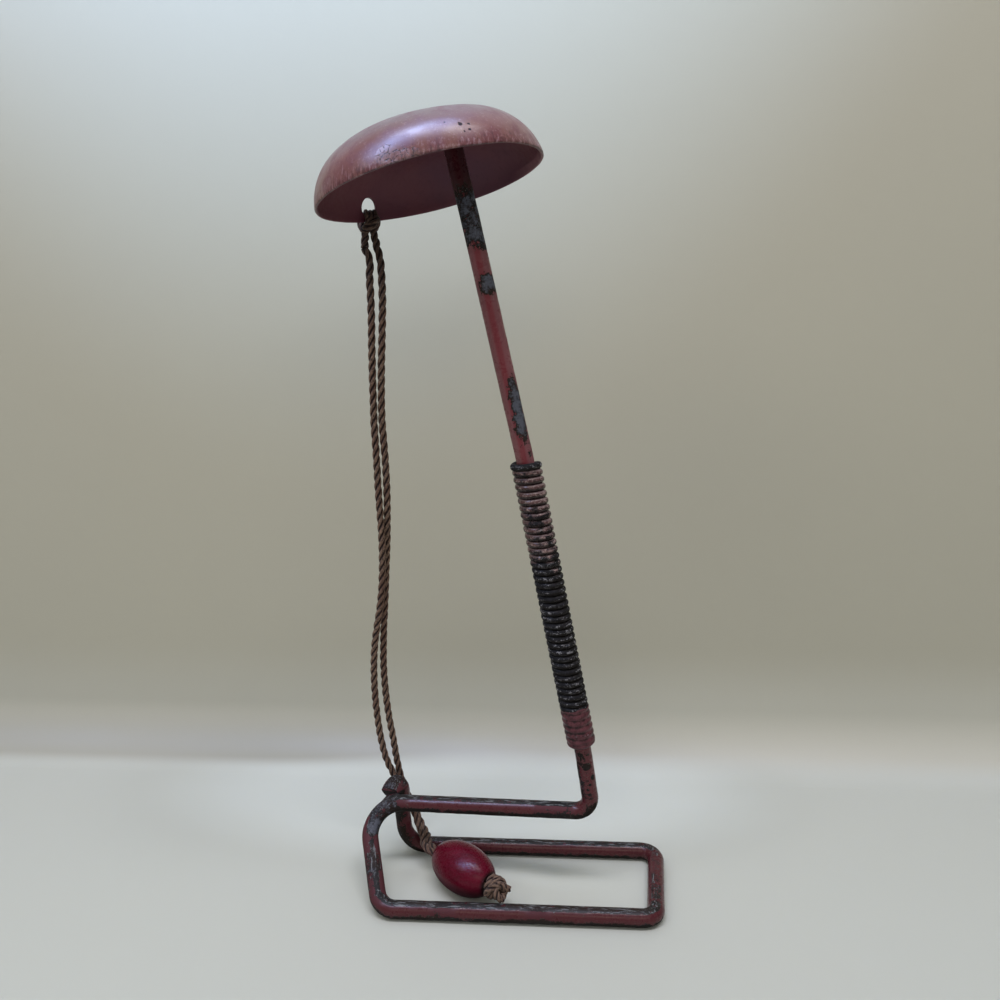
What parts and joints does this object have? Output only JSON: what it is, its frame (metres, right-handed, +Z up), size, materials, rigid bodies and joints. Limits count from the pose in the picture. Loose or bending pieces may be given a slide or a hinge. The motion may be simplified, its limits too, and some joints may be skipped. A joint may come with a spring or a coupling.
{
  "type": "hat display stand",
  "caption": "Leaning stand bent from one round rod, with a pressed dome on top for a hat, a wire-wound grip, and an oval bead on a doubled cord.",
  "frame": {"origin": "on the floor under the middle of the metal work's bounding box", "axes": "+X to the right along the front rail, +Y away from the viewer, +Z up"},
  "size_m": [0.1572, 0.1, 0.3551],
  "materials": {
    "rod_enamel": "worn enamel over dark steel",
    "dome_enamel": "faded satin enamel with fine cracks",
    "winding_enamel": "worn enamel over dark wire",
    "cord": "twisted cotton",
    "bead_wood": "worn gloss stain"
  },
  "bodies": {
    "stand": {"rod_frame": "rod_enamel", "dome": "dome_enamel", "grip_winding": "winding_enamel", "rim_hitch": "cord", "cord_left": "cord", "cord_right": "cord", "end_knot": "cord"},
    "bead": {"toggle_bead": "bead_wood"}
  },
  "joints": [
    {"name": "bead_slide", "type": "slide", "parent": "stand", "child": "bead", "axis": [-0.7771, 0.6293, 0], "range_m": [0, 0.006]}
  ]
}
